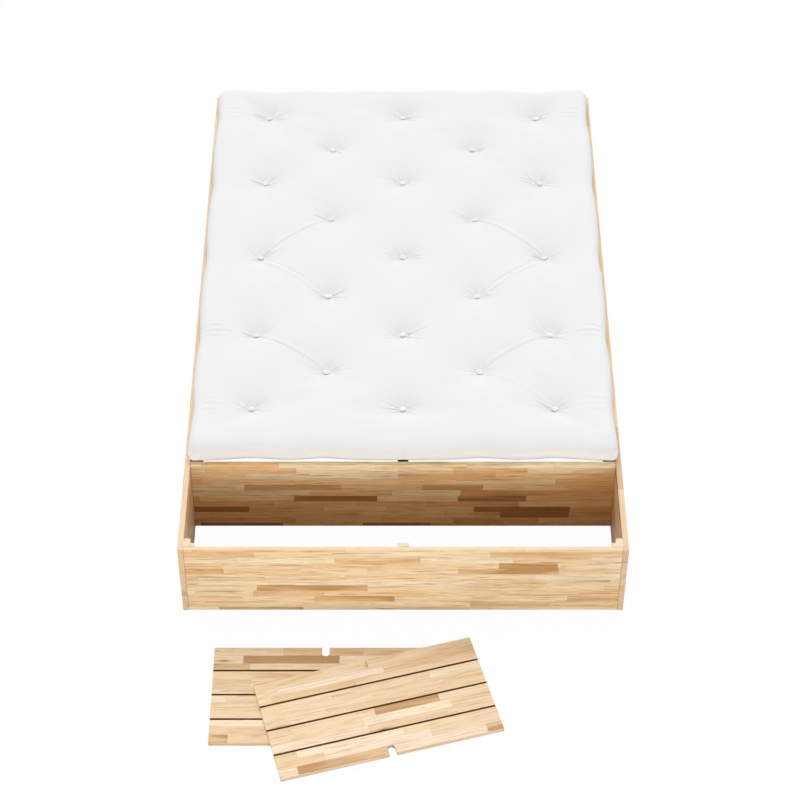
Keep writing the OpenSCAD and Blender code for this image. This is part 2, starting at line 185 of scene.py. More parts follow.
way = add(tree, "ShaderNodeTexCoord").outputs["Generated"]
split = add(tree, "ShaderNodeSeparateXYZ", {0: way})
lowness = add(tree, "ShaderNodeMath", {0: 1.0, 1: split.outputs["Z"]}, operation="SUBTRACT",
              use_clamp=True).outputs[0]
low_sky = maths(tree, "POWER", lowness, SKY_FALL)
before = towards(tree, way, (0, -1, 0))
low_front = maths(tree, "MULTIPLY", maths(tree, "POWER", lowness, FRONT_FALL), before)
behind = towards(tree, way, (0, math.cos(PATCH_HEIGHT), math.sin(PATCH_HEIGHT)))
patch = maths(tree, "POWER", behind, PATCH_FALL)
strength = 0.0
for share, level in ((low_sky, SKY), (low_front, FRONT), (patch, PATCH)):
    strength = maths(tree, "MULTIPLY_ADD", share, level, strength)
dome = add(tree, "ShaderNodeBackground", {"Color": (1, 1, 1, 1), "Strength": strength})
backdrop = add(tree, "ShaderNodeBackground", {"Color": (1, 1, 1, 1), "Strength": 1.0})
sky = add(tree, "ShaderNodeMixShader", {0: seen_directly(tree), 1: dome.outputs[0],
                                        2: backdrop.outputs[0]})
add(tree, "ShaderNodeOutputWorld", {"Surface": sky.outputs[0]})

floor_material, output = new_material("studio_floor")
tree = floor_material.node_tree
spot = add(tree, "ShaderNodeVectorMath", {0: add(tree, "ShaderNodeTexCoord").outputs["Object"],
                                          1: (0, (rail_low.y + rail_high.y) / 2, 0)}, operation="SUBTRACT")
spot = add(tree, "ShaderNodeVectorMath", {0: spot.outputs[0]}, operation="ABSOLUTE")
spot = add(tree, "ShaderNodeSeparateXYZ", {0: spot.outputs[0]})
beyond_side = maths(tree, "GREATER_THAN", spot.outputs["X"], cad_high.x)
beyond_end = maths(tree, "GREATER_THAN", spot.outputs["Y"], (rail_high.y - rail_low.y) / 2)
open_floor = maths(tree, "MAXIMUM", beyond_side, beyond_end)
bounce = add(tree, "ShaderNodeBsdfDiffuse", {"Color": maths(tree, "MULTIPLY", open_floor, FLOOR_BOUNCE)})
white = add(tree, "ShaderNodeEmission", {"Color": (1, 1, 1, 1), "Strength": 1.0})
lit = add(tree, "ShaderNodeBsdfDiffuse", {"Color": (1, 1, 1, 1)})
shown = add(tree, "ShaderNodeMixShader", {0: FLOOR_SHADOW, 1: white.outputs[0], 2: lit.outputs[0]})
floor_look = add(tree, "ShaderNodeMixShader", {0: seen_directly(tree), 1: bounce.outputs[0],
                                               2: shown.outputs[0]})
tree.links.new(floor_look.outputs[0], output.inputs["Surface"])

floor_mesh = bpy.data.meshes.new("floor")
half = FLOOR_SIZE / 2
floor_z = cad_low.z - FLOOR_DROP
corners = ((-half, -half), (half, -half), (half, half), (-half, half))
floor_mesh.from_pydata([(x, y, floor_z) for x, y in corners], [], [(0, 1, 2, 3)])
floor_mesh.materials.append(floor_material)
floor = bpy.data.objects.new("floor", floor_mesh)
scene.collection.objects.link(floor)

# %% [markdown]
# The boards are lamella wood: oak offcuts planed to strips about 30 mm wide, butted end to end and
# glued edge to edge, then oiled. So a board isn't one picture of wood. Each strip has its own tone,
# its own grain and sometimes a small knot, and it stops at a butt joint. The material first works
# out which strip a point belongs to. Rows are counted across the board, and a one-dimensional
# Voronoi pattern with a start of its own in each row cuts them into strips of uneven length. The
# strip's random numbers then pick the tone and shift the grain. Streaks of three widths make the
# grain. The real pores are finer than the render can show, so the finest streaks are drawn coarser,
# about 2 mm wide. Some light and shade is painted in too: a thin line of painted shade where the
# panels end against the rails, a painted highlight on the long edges, painted shade on the walls of
# a lid's grooves, and strips sorted paler upwards as painted shade towards the bottom. The end grain
# is paler than the faces. One function serves all boards, because only the directions and a few
# sizes differ. A solid piece is the same wood with one very wide row and one very long strip.

# %% Lamella wood
WHOLE = 40.0
ROW = 27.3 * MM
STRIP = 270 * MM
UNEVEN = 0.75
ROW_STARTS = 83.0
STREAKS = "#AC7440"
KNOT = "#5F3A1E"
GLUE_LINE = "#A9773F"
EDGE_HIGHLIGHT = "#F8E0C0"
END = "#F3DAB6"
GROOVE_SHADE = "#80502A"
LEANS = ("#FFFEF2", "#FFFBF5")
TONE_SHARES = (0.0, 0.04, 0.22, 0.82, 0.95)
DRIFT = 0.5
BOARD_MIDDLE = 150 * MM
HAIR = 0.4 * MM
ROW_LINE = 0.3
JOINT_LINE = 0.35
END_SHADE_LINE = 0.8
SQUARE_ON = 0.7
AXES = {"X": (1, 0, 0), "Y": (0, 1, 0), "Z": (0, 0, 1)}

# Waves to a metre along the grain and across it, and a number that sets each noise apart.
DRIFT_WAVES = (2.6, 20.0, 17.0)
KNOT_CELLS = (6.0, 34.0, 11.0)
BROAD_GRAIN = (3.5, 60.0, 37.0)
MIDDLE_GRAIN = (7.0, 170.0, 53.0)
FINE_GRAIN = (14.0, 420.0, 71.0)

# A knot's brown halo and dark heart: the distances at which each begins and is full, and its share.
KNOT_RINGS = ((0.46, 0.22, 0.55, STREAKS), (0.29, 0.19, 0.8, KNOT))
KNOT_RAGGED = 0.35


def oiled_oak(name, tones, grain, across, row=ROW, strip=STRIP, seed=0.0, turn=0.0, centre=(0, 0, 0),
              end_pale=0.45, edge_highlight=0.5, knots=0.26, streak_strength=0.45, height_shade=0.0,
              half_length=None, groove_shade_reach=None):
    """Edge-glued oak whose grain runs along one axis, and whose rows are counted along another.

    Row and strip are a strip's width and mean length. Turn and centre lay the pattern along a board
    that is askew. One number puts paler strips higher, a painted shade towards the bottom.
    Half_length is where a line of painted shade ends the board, and the long edges within the groove
    reach of the centre get painted shade, as in a lid's grooves.
    """
    material, output = new_material(name)
    tree = material.node_tree
    place = add(tree, "ShaderNodeTexCoord").outputs["Object"]
    place = add(tree, "ShaderNodeMapping", {"Vector": place, "Location": centre, "Rotation": (0, 0, turn)},
                vector_type="TEXTURE").outputs[0]
    split = add(tree, "ShaderNodeSeparateXYZ", {0: place})
    along, sideways = split.outputs[grain], split.outputs[across]

    # Which strip: the row's own random start shifts the butt joints.
    rows = maths(tree, "MULTIPLY_ADD", sideways, 1 / row, seed)
    row_number = maths(tree, "FLOOR", rows)
    row_random = add(tree, "ShaderNodeTexWhiteNoise", {"W": row_number}, noise_dimensions="1D")
    row_start = maths(tree, "MULTIPLY", row_random.outputs["Value"], ROW_STARTS)
    strips = maths(tree, "MULTIPLY_ADD", along, 1 / strip, row_start)
    cell = add(tree, "ShaderNodeTexVoronoi", {"W": strips, "Scale": 1.0, "Randomness": UNEVEN},
               voronoi_dimensions="1D", feature="F1")
    mixed = add(tree, "ShaderNodeVectorMath", {0: cell.outputs["Color"], 1: row_random.outputs["Color"]},
                operation="ADD")
    strip_random = add(tree, "ShaderNodeVectorMath", {0: mixed.outputs[0]}, operation="FRACTION").outputs[0]
    pick = add(tree, "ShaderNodeSeparateXYZ", {0: strip_random})

    def stretched(lengthwise, crosswise, shift):
        """Places drawn out along the grain, with a start of their own in each strip."""
        scale = [lengthwise if axis == grain else crosswise for axis in "XYZ"]
        moved = add(tree, "ShaderNodeVectorMath", {0: strip_random, 1: (shift,) * 3}, operation="MULTIPLY")
        return add(tree, "ShaderNodeVectorMath", {0: place, 1: scale, 2: moved.outputs[0]},
                   operation="MULTIPLY_ADD").outputs[0]

    def over(wood, share, colour):
        """The wood with a colour laid over a share of it."""
        return add(tree, "ShaderNodeMix", {0: share, 6: wood, 7: linear(colour)},
                   data_type="RGBA").outputs[2]

    # The strip's own tone, from darkest to lightest, and a lean to yellow or to pink. A slow drift
    # keeps one strip from being quite even, and the pale strips can be put in the upper rows, a painted
    # shade that darkens the board towards the bottom.
    drift = add(tree, "ShaderNodeTexNoise", {"Vector": stretched(*DRIFT_WAVES), "Scale": 1.0,
                                             "Detail": 1.0}).outputs["Fac"]
    drifted = maths(tree, "MULTIPLY_ADD", drift, DRIFT, pick.outputs["X"])
    chosen = maths(tree, "MULTIPLY_ADD", row_number, height_shade, drifted)
    middle_row = math.floor(seed) + BOARD_MIDDLE / row
    chosen = maths(tree, "ADD", chosen, -DRIFT / 2 - height_shade * middle_row)
    ramp = add(tree, "ShaderNodeValToRGB", {0: chosen})
    stops = ramp.color_ramp.elements
    for position, tone in zip(TONE_SHARES, tones):
        stop = stops[0] if position == 0 else stops.new(position)
        stop.color = linear(tone)
    stops[-1].color = linear(tones[-1])
    lean = add(tree, "ShaderNodeMix", {0: pick.outputs["Y"], 6: linear(LEANS[0]), 7: linear(LEANS[1])},
               data_type="RGBA").outputs[2]
    wood = add(tree, "ShaderNodeMix", {0: 1.0, 6: ramp.outputs[0], 7: lean}, data_type="RGBA",
               blend_type="MULTIPLY").outputs[2]

    # Grain: noise stretched along the strip, started anew in each one. It shows where it is high.
    def streaks(waves, low, high, most):
        """The noise itself, and how much of the streak colour it lays on."""
        noise = add(tree, "ShaderNodeTexNoise", {"Vector": stretched(*waves), "Scale": 1.0, "Detail": 3.0,
                                                 "Distortion": 0.5}).outputs["Fac"]
        return noise, ranged(tree, noise, low, high, 0.0, most * streak_strength)

    bands = streaks(BROAD_GRAIN, 0.50, 0.76, 0.8)[1]
    middling, lines = streaks(MIDDLE_GRAIN, 0.55, 0.70, 1.3)
    fine, hairs = streaks(FINE_GRAIN, 0.52, 0.70, 1.0)
    for mark in (bands, lines, hairs):
        wood = over(wood, mark, STREAKS)

    # Knots: a few cells of a stretched Voronoi pattern have a dark, drawn-out middle.
    knot_cell = add(tree, "ShaderNodeTexVoronoi", {"Vector": stretched(*KNOT_CELLS), "Scale": 1.0},
                    feature="F1")
    has_knot = maths(tree, "LESS_THAN", knot_cell.outputs["Color"], knots)
    ragged = maths(tree, "MULTIPLY_ADD", middling, KNOT_RAGGED, knot_cell.outputs["Distance"])
    for far, near, most, colour in KNOT_RINGS:
        mark = ranged(tree, ragged, far, near, 0.0, most, interpolation_type="SMOOTHSTEP")
        wood = over(wood, maths(tree, "MULTIPLY", mark, has_knot), colour)

    # Glue lines between rows, and butt joints at the strips' ends, both hair thin. The line at a
    # panel's own end, against the rail, is 1 mm wide and is painted shade in the joint.
    row_line = ranged(tree, maths(tree, "PINGPONG", rows, 0.5), HAIR / row, 0.0, 0.0, ROW_LINE)
    joint = add(tree, "ShaderNodeTexVoronoi", {"W": strips, "Scale": 1.0, "Randomness": UNEVEN},
                voronoi_dimensions="1D", feature="DISTANCE_TO_EDGE").outputs["Distance"]
    joint_line = ranged(tree, joint, HAIR / strip, 0.0, 0.0, JOINT_LINE)
    glue = maths(tree, "MAXIMUM", row_line, joint_line)
    if half_length:
        end_shade_line = ranged(tree, maths(tree, "ABSOLUTE", along), half_length - 2 * MM,
                           half_length - 1 * MM, 0.0, END_SHADE_LINE)
        glue = maths(tree, "MAXIMUM", glue, end_shade_line)
    wood = over(wood, glue, GLUE_LINE)

    # The long narrow edges are painted paler, a painted highlight, and the sawn end grain is paler
    # too. The walls of a lid's grooves are painted dark, as painted shade.
    normal = add(tree, "ShaderNodeTexCoord").outputs["Normal"]

    def faces_along(letter):
        """1 on faces square to an axis of the board, and 0 elsewhere."""
        axis = Vector(AXES[letter])
        axis.rotate(Euler((0, 0, turn)))
        facing = add(tree, "ShaderNodeVectorMath", {0: normal, 1: axis}, operation="DOT_PRODUCT")
        return maths(tree, "GREATER_THAN", maths(tree, "ABSOLUTE", facing.outputs["Value"]), SQUARE_ON)

    wood = over(wood, maths(tree, "MULTIPLY", faces_along(across), edge_highlight), EDGE_HIGHLIGHT)
    if groove_shade_reach:
        inner = maths(tree, "LESS_THAN", maths(tree, "ABSOLUTE", sideways), groove_shade_reach)
        wood = over(wood, maths(tree, "MULTIPLY", faces_along(across), inner), GROOVE_SHADE)
    wood = over(wood, maths(tree, "MULTIPLY", faces_along(grain), end_pale), END)

    # The fine grain stands out a little and is duller, and the glue lines lie deeper.
    relief = maths(tree, "MULTIPLY_ADD", glue, -0.6, fine)
    bump = add(tree, "ShaderNodeBump", {"Strength": 0.25, "Distance": 0.4 * MM, "Height": relief})
    dullness = ranged(tree, fine, 0.3, 0.7, 0.46, 0.60)
    shader = add(tree, "ShaderNodeBsdfPrincipled", {"Base Color": wood, "Roughness": dullness,
                                                    "Normal": bump.outputs[0], "Specular IOR Level": 0.12})
    tree.links.new(shader.outputs[0], output.inputs["Surface"])
    return material


def dress(material, *names):
    """Gives CAD nodes a material. Their shape stays as it is."""
    for name in names:
        slots = NODES[name].data.materials
        slots.clear()
        slots.append(material)


# Painted shade: the cross panel's tones run darker and more saturated than the foot's and head's, and its
# strips are sorted paler upwards more steeply, for the dim storage compartment, though all three are the
# same wood. The foot and head sort a little too. The cross panel's top edge gets no painted highlight,
# since it lies in the futon's shade.
PANEL_TONES = ("#CD9E6B", "#EBC394", "#FAD5A8", "#FEE5C2", "#FFEED4")
CROSS_SHADED_TONES = ("#A57546", "#CB9A6B", "#F2C28E", "#FFE0B2", "#FFEBCB")
LID_TONES = ("#CBA279", "#E6C6A1", "#F3D8B6", "#F8E1C5", "#FFEDD8")
LIT_BATTEN_TONES = ("#F6E0C2", "#F8E4C8", "#FAE8CF", "#FCECD6", "#FEF0DE")
SHADE_DARK_TONES = ("#32200F", "#38251A", "#3E2A1C", "#443020", "#4A3625")
TONGUE_SHADE_TONES = ("#6C4220", "#724622", "#7A4C26", "#805029", "#88562C")
SLAT_TONES = ("#D9B383", "#E2BF92", "#E8C89E", "#EDD0A8", "#F2D9B6")
# Painted shade: the rails' tones are darker than the panels', and the right rail's darker and more orange
# than the left's with a weaker edge highlight, to stand for the shade on their inner faces in the
# compartment, though all are the same wood.
RAILS = {"left": {"tones": ("#BF8F5D", "#DBB083", "#E9C398", "#EFD1A9", "#F1DCBD"), "edge_highlight": 0.7},
         "right": {"tones": ("#BD8A59", "#D9AA7D", "#E7BD91", "#EDCAA1", "#EFD5B4"), "edge_highlight": 0.5}}
PANELS = {"foot": {"tones": PANEL_TONES, "edge_highlight": 0.7, "height_shade": 0.02},
          "cross": {"tones": CROSS_SHADED_TONES, "edge_highlight": 0.0, "height_shade": 0.07},
          "head": {"tones": PANEL_TONES, "edge_highlight": 0.7, "height_shade": 0.02}}
FIRST_RAIL_SEED = 31.4
FIRST_PANEL_SEED = 200.4
SEED_STEP = 40

rail_inner = min(abs(v.co.x) for v in NODES["side_rail_left"].data.vertices)
for number, (side, look) in enumerate(RAILS.items()):
    dress(oiled_oak(f"oiled_oak_rail_{side}", grain="Y", across="Z",
                    seed=FIRST_RAIL_SEED + SEED_STEP * number, **look), f"side_rail_{side}")
for number, (end, look) in enumerate(PANELS.items()):
    dress(oiled_oak(f"oiled_oak_{end}_panel", grain="X", across="Z",
                    seed=FIRST_PANEL_SEED + SEED_STEP * number, half_length=rail_inner, **look),
          f"{end}_panel")
slats = [name for name in NODES if name.startswith("slat_") and name[5:].isdigit()]
dress(oiled_oak("planed_oak_slats", SLAT_TONES, "X", "Y", row=66 * MM, strip=WHOLE, seed=7.2, edge_highlight=0.0,
                knots=0.15, streak_strength=0.35), *slats)
print(f"wood: {len(RAILS)} rails, {len(PANELS)} panels, {len(slats)} slats")

# %% [markdown]
# The battens that show in the storage compartment are painted pale, a painted highlight for the
# light on their tops. Those under the futon, with the beam, its leg and the slat ledges, are painted
# dark as painted shade, and show only as dark blocks in the gap at the futon's foot.

# %% Battens and beam
ONE_PIECE = {"row": WHOLE, "strip": WHOLE, "end_pale": 0.0, "edge_highlight": 0.0}
battens = [name for name in NODES if "batten" in name]
pale_battens = [name for name in battens if name.startswith("foot")]
dark_battens = [name for name in battens if not name.startswith("foot")]
dress(oiled_oak("lit_pale_battens", LIT_BATTEN_TONES, "Z", "X", seed=0.3, knots=0.1, streak_strength=0.2,
                **ONE_PIECE), *pale_battens, "beam_dowels")
dress(oiled_oak("shade_dark_battens", SHADE_DARK_TONES, "Z", "X", seed=0.7, knots=0.1, streak_strength=0.2,
                **ONE_PIECE), *dark_battens, "centre_leg")
dress(oiled_oak("shade_dark_bearers", SHADE_DARK_TONES, "Y", "X", seed=3.4, knots=0.15, streak_strength=0.35,
                **ONE_PIECE), "centre_beam", "slat_ledge_left", "slat_ledge_right")
print(f"battens: {len(pale_battens)} pale, {len(dark_battens)} dark")

# %% [markdown]
# The lids are the same wood in slightly wider and longer strips, and paler. Their boards are joined
# by loose tongues, which are painted dark, and the walls of the groove between two boards are painted
# dark too: painted shade for the shadow down in the grooves. The upper lid lies askew, so its pattern
# is turned with it: a Mapping node carries the lid's own middle and angle, both measured on its boards.

# %% Lids
def middle_and_turn(names):
    """The middle of some parallel boards and the turn of their length, from their meshes."""
    points = np.array([v.co[:] for name in names for v in NODES[name].data.vertices])[:, :2]
    centre = (points.min(axis=0) + points.max(axis=0)) / 2
    values, vectors = np.linalg.eigh(np.cov((points - centre).T))
    direction = vectors[:, np.argmax(values)]
    direction *= np.sign(direction[0])
    return centre, math.atan2(direction[1], direction[0])


LID_BOARDS = 4
LID_INSIDE = 100 * MM
LID_ROW = 31 * MM
LID_STRIP = 300 * MM
FIRST_LID_SEED = 400.0
LID_SEED_STEP = 60
for number, lid in enumerate(("lower", "upper")):
    boards = [f"{lid}_lid_board_{i}" for i in range(1, LID_BOARDS + 1)]
    lid_middle, lid_turn = middle_and_turn(boards)
    print(f"{lid} lid: middle at {lid_middle.round(3)}, turned {math.degrees(lid_turn):.1f} degrees")
    laid = {"grain": "X", "across": "Y", "turn": lid_turn, "centre": (*lid_middle, 0)}
    dress(oiled_oak(f"oiled_oak_{lid}_lid", LID_TONES, row=LID_ROW, strip=LID_STRIP,
                    seed=FIRST_LID_SEED + LID_SEED_STEP * number, groove_shade_reach=LID_INSIDE,
                    streak_strength=0.3, **laid), *boards)
    dress(oiled_oak(f"shade_dark_{lid}_tongues", TONGUE_SHADE_TONES, row=WHOLE, strip=WHOLE, seed=5.0,
                    edge_highlight=0.0, knots=0.0, **laid),
          *[f"{lid}_lid_tongue_{i}" for i in range(1, LID_BOARDS)])

# %% [markdown]
# The screws are zinc-plated steel with a satin drawn finish. They sit inside the frame, and the
# light only catches them from below or through the open compartment.

# %% Screws
zinc, output = new_material("zinc_plated_steel")
tree = zinc.node_tree
place = add(tree, "ShaderNodeTexCoord").outputs["Object"]
blotches = add(tree, "ShaderNodeTexNoise", {"Vector": place, "Scale": 900.0, "Detail": 3.0}).outputs["Fac"]
dull = ranged(tree, blotches, 0.0, 1.0, 0.28, 0.48)
shader = add(tree, "ShaderNodeBsdfPrincipled", {"Base Color": linear("#C4C7C9"), "Metallic": 1.0,
                                                "Roughness": dull})
tree.links.new(shader.outputs[0], output.inputs["Surface"])
dress(zinc, "panel_screws", "stop_screws", "ledge_screws", "slat_screws")

# %% [markdown]
# ## The futon
#
# A futon is a cotton cover over cotton batting, tied through with thread at rows of tufts. Its shape
# comes from three things: the cover's cut, the ties that pull it in, and the filling that swells it
# between them. So it is made in that order. First a closed net of quads is laid out as a slightly
# slack pad. Then a cloth simulation blows it up while the ties and the underside are held. Last the
# creases that run out from each tuft are pressed in, because they are finer than a simulation that
# runs in a minute can hold.
#
# The tufts' places are read from the buttons in the frame, so both always agree.

# %% Where the futon is tied
BUTTON_ROOM = 60 * MM
OFF_MIDDLE = 100 * MM
END_PINCH_FROM = 200 * MM
SIDE_PINCH_FROM = 400 * MM


def cluster_middles(points, reach):
    """Middles of groups of points that lie within reach of each other's first point."""
    groups = []
    for point in points:
        for group in groups:
            if (group[0] - point).length < reach:
                group.append(point)
                break
        else:
            groups.append([point])
    boxes = [(np.min(group, axis=0), np.max(group, axis=0)) for group in groups]
    return [Vector((low + high) / 2) for low, high in boxes]


button_points = [v.co.copy() for v in NODES["tuft_buttons"].data.vertices]
tufts = sorted(cluster_middles(button_points, BUTTON_ROOM), key=lambda p: (round(p.y, 2), p.x))
TUFTS = np.array([t[:2] for t in tufts])
side_rows = sorted({round(t.y, 2) for t in tufts if abs(t.x) > SIDE_PINCH_FROM})
end_columns = sorted({round(t.x, 2) for t in tufts if abs(t.x) > END_PINCH_FROM})
print(f"futon: {len(tufts)} tufts, side rows at {side_rows}, end columns at {end_columns}")

# %% [markdown]
# The pad's outline pulls in where a row of ties comes near a side, and puffs out between the rows.
# Its edge is a quarter ellipse above the widest line and a tighter one below it, and its underside
# is flat, since it lies on slats.

# %% Lay out the slack pad
PITCH = 12 * MM
TOP_ROUND = 50 * MM
UNDER_SIDES = 30 * MM
UNDER_ENDS = 20 * MM
CORNER_RADIUS = 18 * MM
EAR = 6 * MM
SIDE_PUFF = 7.5 * MM
END_PUFF = 9 * MM
PINCH_REACH = 110 * MM
HIP_BLEND = 40 * MM
SLACK = 3 * MM
WAIST_UP = 34 * MM
CROWN = 6 * MM
EAR_FROM = 0.8
DRAWN_POWER = 6
TINY = 1e-9
TUFT_DEPTH = 36 * MM
PIT_REACH = 60 * MM
HOLLOW_REACH = 165 * MM
HOLLOW_SHARE = 0.66
EDGE_STEPS = 7
UNDER_STEPS = 6

waist_z = rail_high.z + WAIST_UP
seat_z = futon_low.z
crest_z = futon_high.z
tied_x = futon_high.x - SIDE_PUFF
tied_y = futon_high.y - END_PUFF


def bell(distance, reach):
    """A soft bump, 1 at its middle."""
    return np.exp(-2 * (distance / reach) ** 2)


def side_x(y):
    """Half the pad's width at y."""
    return tied_x + SIDE_PUFF * (1 - sum(bell(y - row, PINCH_REACH) for row in side_rows))


def end_y(x):
    """Half the pad's length at x."""
    ear = EAR * np.clip((np.abs(x) / tied_x - EAR_FROM) / (1 - EAR_FROM), 0, 1) ** 2
    return tied_y + ear + END_PUFF * (1 - sum(bell(x - column, PINCH_REACH) for column in end_columns))


def net_lines(half):
    """Lines from -half to half: close together round the edge, and evenly spaced between."""
    turns = np.linspace(0, math.pi / 2, EDGE_STEPS + 1)
    edge = TOP_ROUND * (1 - np.cos(turns))
    inner = half - TOP_ROUND
    count = round(2 * inner / PITCH)
    return np.concatenate([edge[:-1] - half, np.linspace(-inner, inner, count + 1), half - edge[-2::-1]])


def outline(x, y):
    """Draws a square net out to the puffed sides and round the corners."""
    far_x, far_y = side_x(y), end_y(x)
    x = x + np.sign(x) * np.abs(x / tied_x) ** DRAWN_POWER * (far_x - tied_x)
    y = y + np.sign(y) * np.abs(y / tied_y) ** DRAWN_POWER * (far_y - tied_y)
    corner_x = np.abs(x) - far_x + CORNER_RADIUS
    corner_y = np.abs(y) - far_y + CORNER_RADIUS
    inside = (corner_x > 0) & (corner_y > 0)
    reach = np.maximum(np.hypot(corner_x, corner_y), TINY)
    pull = np.where(inside, np.maximum(corner_x, corner_y) / reach, 1)
    return (np.where(inside, np.sign(x) * (far_x - CORNER_RADIUS + corner_x * pull), x),
            np.where(inside, np.sign(y) * (far_y - CORNER_RADIUS + corner_y * pull), y))


def tuft_pull(x, y):
    """How far the ties draw the cover down at each point, from 0 to 1: a pit in a wide hollow."""
    far = [np.hypot(x - tx, y - ty) for tx, ty in TUFTS]
    return sum(HOLLOW_SHARE * bell(r, HOLLOW_REACH) + (1 - HOLLOW_SHARE) * bell(r, PIT_REACH) for r in far)


lines_x, lines_y = net_lines(tied_x), net_lines(tied_y)
net_x, net_y = np.meshgrid(lines_x, lines_y)
to_side, to_end = tied_x - np.abs(net_x), tied_y - np.abs(net_y)

# How far in a point lies is the smaller of the two distances, blended where they are nearly equal,
# so that no hard hip runs in from the corners.
blend = np.clip(1 - np.abs(to_side - to_end) / HIP_BLEND, 0, 1)
inset = np.minimum(to_side, to_end) - HIP_BLEND / 4 * blend ** 2
edge_rise = np.sqrt(np.clip(1 - np.clip(1 - inset / TOP_ROUND, 0, 1) ** 2, 0, 1))
cover_x, cover_y = outline(net_x, net_y)
crown = (1 - (net_x / tied_x) ** 2) * (1 - (net_y / tied_y) ** 2)
slack_z = crest_z - SLACK - waist_z - CROWN * (1 - crown)
cover_z = waist_z + slack_z * edge_rise - (TUFT_DEPTH - SLACK) * tuft_pull(net_x, net_y)

rows, columns = net_x.shape
rim = ([(0, i) for i in range(columns - 1)] + [(j, columns - 1) for j in range(rows - 1)]
       + [(rows - 1, i) for i in range(columns - 1, 0, -1)] + [(j, 0) for j in range(rows - 1, 0, -1)])
vertices = [tuple(p) for p in np.stack([cover_x, cover_y, cover_z], axis=-1).reshape(-1, 3)]
faces = [(j * columns + i, j * columns + i + 1, (j + 1) * columns + i + 1, (j + 1) * columns + i)
         for j in range(rows - 1) for i in range(columns - 1)]
ring = [j * columns + i for j, i in rim]
for step in range(1, UNDER_STEPS + 1):
    turn = math.pi / 2 * step / UNDER_STEPS
    start = len(vertices)
    for j, i in rim:
        x, y = cover_x[j, i], cover_y[j, i]
        inward = Vector((max(abs(x) - tied_x + CORNER_RADIUS, 0) * -np.sign(x),
                         max(abs(y) - tied_y + CORNER_RADIUS, 0) * -np.sign(y))).normalized()
        drawn = 1 - math.cos(turn)
        vertices.append((x + UNDER_SIDES * drawn * inward.x, y + UNDER_ENDS * drawn * inward.y,
                         waist_z - (waist_z - seat_z) * math.sin(turn)))
    new_ring = list(range(start, len(vertices)))
    faces += [(ring[k], new_ring[k], new_ring[(k + 1) % len(ring)], ring[(k + 1) % len(ring)])
              for k in range(len(ring))]
    ring = new_ring

futon_mesh = bpy.data.meshes.new("futon_cover")
futon_mesh.from_pydata(vertices, [], faces)
futon = bpy.data.objects.new("futon_cover", futon_mesh)
scene.collection.objects.link(futon)
print(f"slack pad: {len(vertices)} points, {len(faces)} quads")

# %% [markdown]
# The simulation holds the points under each button and the lowest ring, and lets air pressure swell
# the rest. No point may move more than a few millimetres from where it was cut, so the pad keeps its
# size. The result is written into the mesh, and the Cloth modifier goes.

# %% Swell the pad
FRAMES = 20
PRESSURE = 0.7
CAP = 8 * MM
HELD = 13 * MM


def points_of(mesh):
    """A mesh's points as an array."""
    flat = np.empty(len(mesh.vertices) * 3)
    mesh.vertices.foreach_get("co", flat)
    return flat.reshape(-1, 3)


def set_points(mesh, points):
    """Writes an array of points into a mesh."""
    mesh.vertices.foreach_set("co", points.reshape(-1))
    mesh.update()


def swell(piece):
    """Blows the cover up between its ties and keeps the result."""
    start = points_of(piece.data)
    reach = np.min([np.hypot(start[:, 0] - tx, start[:, 1] - ty) for tx, ty in TUFTS], axis=0)
    tied = (reach < HELD) & (start[:, 2] > waist_z)
    underside = start[:, 2] < seat_z + 1 * MM
    group = piece.vertex_groups.new(name="held")
    group.add([int(i) for i in np.nonzero(tied | underside)[0]], 1.0, "REPLACE")
    cloth = piece.modifiers.new("Cloth", "CLOTH")
    settings = cloth.settings
    settings.quality = 5
    settings.mass = 0.3
    settings.tension_stiffness = settings.compression_stiffness = 40
    settings.shear_stiffness = 5
    settings.bending_stiffness = 4.0
    settings.use_pressure = True
    settings.uniform_pressure_force = PRESSURE
    settings.vertex_group_mass = "held"
    settings.effector_weights.gravity = 0
    cloth.point_cache.frame_start, cloth.point_cache.frame_end = 1, FRAMES
    for number in range(1, FRAMES + 1):
        scene.frame_set(number)
    swollen = piece.evaluated_get(bpy.context.evaluated_depsgraph_get()).to_mesh()
    moved = points_of(swollen) - start
    far = np.maximum(np.linalg.norm(moved, axis=1, keepdims=True), TINY)
    moved *= CAP * np.tanh(far / CAP) / far
    piece.modifiers.remove(cloth)
    scene.frame_set(1)
    set_points(piece.data, start + moved)
    print(f"swollen: moved {far.max() / MM:.1f} mm at most before the cap, "
          f"{far.mean() / MM:.1f} mm on average")


swell(futon)

# %% [markdown]
# The pad is then subdivided once for smooth curves, and again near the ties and the long folds, so
# that a fold a few millimetres wide has faces to bend. Each tie gets a fan of creases, narrow valleys
# with soft lips. The longest run sideways, as on a pad whose rows are tied across, and every length
# and angle is varied by a seeded random number. Where the cover is slack between two ties it lies in
# a roll, a ridge with a valley beside it, and short rolls run in from the sides.

# %% Refine the cover where it folds
FAN_REACH = 110 * MM
CORE_REACH = 60 * MM
ROLL_REACH = 36 * MM
ROLL_CORE_REACH = 20 * MM
ROW_ROOM = 20 * MM
PAST_END = 0.05
FROM_SIDE = 8 * MM
SIDE_ROLL_SLANT = 6 * MM

# Rolls between two ties: which column and row from the foot each end is at, and how deep. Where the
# number is below zero, the ridge lies on the foot's side of the valley.
TIE_ROLLS = (("inner", 5, "outer", 4, 1.0), ("inner", 3, "outer", 4, -0.7),
             ("inner", 1, "outer", 2, 0.9), ("outer", 0, "inner", 1, 0.3))

# Rolls that run in from the sides: their rows and depths, and each row's places and lengths in mm.
SIDE_ROLL_ROWS = ((0, 0.4), (2, 0.6), (8, 0.3))
SIDE_ROLLS = ((-24, 90), (2, 110), (27, 80))


